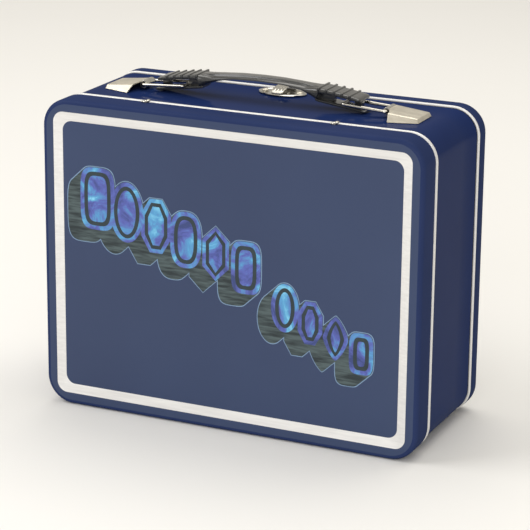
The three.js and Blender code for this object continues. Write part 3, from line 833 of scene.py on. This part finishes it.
def small_rivet(node, body):
    bm = bmesh.new()
    low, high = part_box(node)
    middle = (low + high) / 2
    tall = (high.z - low.z) / MM
    head = high.z
    profile = [(0, -tall), (1.5, -tall), (1.6, -tall + 0.1), (1.6, -tall + 0.6),
               (0.9, -tall + 0.6), (0.9, -0.9)]
    for degrees in range(0, 90, 12):
        a = math.radians(degrees)
        profile.append((1.8 * math.cos(a), -0.9 + 0.9 * math.sin(a)))
    profile.append((0, 0))
    add_lathe(bm, [(r * MM, h * MM) for r, h in profile], (middle.x, middle.y, head), "Z", 32)
    publish(node + "_dome", bm, [NICKEL], body, [node], 35)


def pin(node, body, radius):
    bm = bmesh.new()
    low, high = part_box(node)
    half = (high.x - low.x) / 2
    middle = (low + high) / 2
    profile = [(0, -half), (radius * 0.8, -half), (radius, -half + 0.1 * MM), (radius, half - 0.1 * MM),
               (radius * 0.8, half), (0, half)]
    add_lathe(bm, profile, middle, "X", 28)
    publish(node + "_rod", bm, [WIRE], body, [node], 40)


base_plate()
hasp()
lid_bracket()
small_rivet("latch_rivet_left", "case")
small_rivet("latch_rivet_right", "case")
small_rivet("lid_bracket_rivet_left", "lid")
small_rivet("lid_bracket_rivet_right", "lid")
pin("latch_hasp_pin", "lid", 0.5 * MM)


# -------------------------------------------------------------------- hinges
HINGE_X = 70 * MM
HINGE_AXIS_Y = 33.65 * MM
HINGE_AXIS_Z = 1 * MM
KNUCKLE_HALF = 3.87 * MM
KNUCKLE_STEP = 8.1 * MM
LEAF_LENGTH = 23.9 * MM
LEAF_SHEET = 0.46 * MM
BODY_LEAF_Z = 0.36 * MM
LID_LEAF_Z = 1.15 * MM


def hinge_barrel(bm, middle):
    """One hollow knuckle of a hinge."""
    half = KNUCKLE_HALF
    round_edge = 0.08 * MM
    profile = [(0.52 * MM, -half), (0.82 * MM, -half), (0.9 * MM, -half + round_edge),
               (0.9 * MM, half - round_edge), (0.82 * MM, half), (0.52 * MM, half)]
    add_lathe(bm, profile, (middle, HINGE_AXIS_Y, HINGE_AXIS_Z), "X", 32)


def butt_hinge(side, centre):
    """Two outer knuckles on the box's leaf, one between them on the lid's leaf, and the pin."""
    fixed = bmesh.new()
    dome = [(0, -0.05), (1.4, -0.05), (1.3, -0.16), (0.8, -0.26), (0, -0.26)]
    for sign in (-1, 1):
        x = centre + sign * KNUCKLE_STEP
        hinge_barrel(fixed, x)
        add_box(fixed, (x, 30.6 * MM, BODY_LEAF_Z), (7.7 * MM, 5.4 * MM, LEAF_SHEET), 0.1 * MM)
        add_lathe(fixed, [(r * MM, h * MM) for r, h in dome], (x, 24.5 * MM, BODY_LEAF_Z), "Z", 28)
    add_box(fixed, (centre, 26.2 * MM, BODY_LEAF_Z), (LEAF_LENGTH, 12.2 * MM, LEAF_SHEET), 0.1 * MM)
    publish(f"hinge_{side}_fixed_half", fixed, [NICKEL], "case", [f"hinge_{side}_body_leaf"],
            35)
    moving = bmesh.new()
    hinge_barrel(moving, centre)
    add_box(moving, (centre, 35.2 * MM, LID_LEAF_Z), (7.6 * MM, 2.6 * MM, LEAF_SHEET), 0.1 * MM)
    add_box(moving, (centre, 38.6 * MM, LID_LEAF_Z), (LEAF_LENGTH, 6.7 * MM, LEAF_SHEET), 0.1 * MM)
    publish(f"hinge_{side}_moving_half", moving, [NICKEL], "lid", [f"hinge_{side}_lid_leaf"],
            35)
    pin(f"hinge_{side}_pin", "case", 0.35 * MM)


butt_hinge("left", -HINGE_X)
butt_hinge("right", HINGE_X)


# --------------------------------------------------------------- bottle wire
CLIP_X = 55
WIRE_Y = -34
PIVOT_Z = 169.4
WIRE_BOTTOM_Z = 95.4
WIRE_REACH = 60.2


def wire_clip(side, x):
    """A clinched loop: a domed head with a small ball beside it, and a loop round the wire."""
    bm = bmesh.new()
    y = WIRE_Y
    head = [(0, 0.1), (0.9, 0.1), (1.3, 0.25), (1.35, 0.5),
            (1.15, 0.85), (0.75, 1.15), (0.35, 1.28), (0, 1.3)]
    add_lathe(bm, [(r * MM, h * MM) for r, h in head], (x * MM, y * MM, HEIGHT + 0.25 * MM), "Z", 36)
    ball = bmesh.ops.create_uvsphere(bm, u_segments=20, v_segments=12, radius=0.6 * MM)["verts"]
    bmesh.ops.translate(bm, vec=((x - 1.2) * MM, (y - 1.0) * MM, HEIGHT + 0.75 * MM), verts=ball)
    lug = bmesh.ops.create_uvsphere(bm, u_segments=24, v_segments=12, radius=1.0 * MM)["verts"]
    bmesh.ops.scale(bm, vec=(1.2, 1.9, 0.75), verts=lug)
    bmesh.ops.translate(bm, vec=((x + 0.9) * MM, (y + 1.9) * MM, HEIGHT + 0.85 * MM), verts=lug)
    add_box(bm, (x * MM, y * MM, 172.9 * MM), (1.9 * MM, 1.9 * MM, 4.4 * MM), 0.2 * MM)
    loop = [(1.32, -2.2), (1.8, -2.2), (1.88, -2.1), (1.88, 2.1), (1.8, 2.2), (1.32, 2.2)]
    add_lathe(bm, [(r * MM, h * MM) for r, h in loop], (x * MM, y * MM, PIVOT_Z * MM), "X", 36)
    publish(f"wire_clip_{side}", bm, [STEEL], "case", [f"bail_clip_{side}"], 40)


def bottle_wire():
    """The U-shaped wire, given as (x, z) points, whose ends turn in through the clips."""
    bm = bmesh.new()
    out = WIRE_REACH
    route = [(-out + 8, PIVOT_Z), (-out, PIVOT_Z), (-out, WIRE_BOTTOM_Z),
             (out, WIRE_BOTTOM_Z), (out, PIVOT_Z), (out - 8, PIVOT_Z)]
    add_tube(bm, [Vector((x, WIRE_Y, z)) * MM for x, z in route], 1 * MM, 2.5 * MM)
    publish("bottle_wire", bm, [WIRE], "bail", ["bottle_bail"], 50)


wire_clip("left", -CLIP_X)
wire_clip("right", CLIP_X)
bottle_wire()


# --------------------------------------------------------------------- stage
def plain(name, colour, roughness):
    look = Look(name)
    base = look.noise(3.0, 2.0)
    look.colour(look.ramp(base, [(0.2, tuple(c * 0.985 for c in colour)), (0.8, colour)]))
    look.shader.inputs["Roughness"].default_value = roughness
    return look.material


def make_floor():
    bm = bmesh.new()
    bmesh.ops.create_grid(bm, x_segments=4, y_segments=4, size=8.0)
    mesh = bpy.data.meshes.new("floor")
    bm.to_mesh(mesh)
    bm.free()
    mesh.materials.append(plain("floor_paper", (0.86, 0.85, 0.825), 0.75))
    floor = bpy.data.objects.new("floor", mesh)
    bpy.context.scene.collection.objects.link(floor)
    floor.location.z = -0.0002


def area_light(name, place, target, size, power, colour):
    data = bpy.data.lights.new(name, "AREA")
    data.shape = "RECTANGLE"
    data.size, data.size_y = size
    data.energy = power
    data.color = colour
    lamp = bpy.data.objects.new(name, data)
    bpy.context.scene.collection.objects.link(lamp)
    lamp.location = place
    aim = Vector(target) - Vector(place)
    lamp.rotation_euler = aim.to_track_quat("-Z", "Y").to_euler()


CAMERA_PLACE = (0.5072, -1.10995, 0.4563)
CAMERA_FORWARD = (-0.39657, 0.86980, -0.29355)
CAMERA_ROLL_DEGREES = 0.58
CAMERA_LENS = 157.3


def make_camera():
    forward = Vector(CAMERA_FORWARD).normalized()
    roll = math.radians(CAMERA_ROLL_DEGREES)
    right = forward.cross(Vector((0, 0, 1))).normalized()
    up = right.cross(forward)
    right, up = (right * math.cos(roll) + up * math.sin(roll),
                 up * math.cos(roll) - right * math.sin(roll))
    data = bpy.data.cameras.new("camera")
    data.lens = CAMERA_LENS
    data.sensor_width = 36.0
    data.clip_end = 50
    camera = bpy.data.objects.new("camera", data)
    bpy.context.scene.collection.objects.link(camera)
    basis = Matrix((right, up, -forward)).transposed().to_4x4()
    camera.matrix_world = Matrix.Translation(CAMERA_PLACE) @ basis
    bpy.context.scene.camera = camera


make_floor()
make_camera()
area_light("key", (-1.3, -0.7, 1.5), (0, 0, 0.1), (1.2, 1.2), 15, (0.99, 0.99, 1.0))
area_light("front_fill", (0.6, -2.2, 0.9), (0, 0, 0.1), (2.2, 1.4), 27, (0.98, 0.985, 1.0))
area_light("top", (0.1, 0.6, 1.9), (0, 0, 0.1), (1.8, 1.4), 19, (1.0, 0.98, 0.94))
world = bpy.data.worlds.new("studio")
world.use_nodes = True
world.node_tree.nodes["Background"].inputs["Color"].default_value = (1.0, 0.955, 0.87, 1)
world.node_tree.nodes["Background"].inputs["Strength"].default_value = 0.5
bpy.context.scene.world = world
bpy.context.scene.view_settings.view_transform = "Standard"
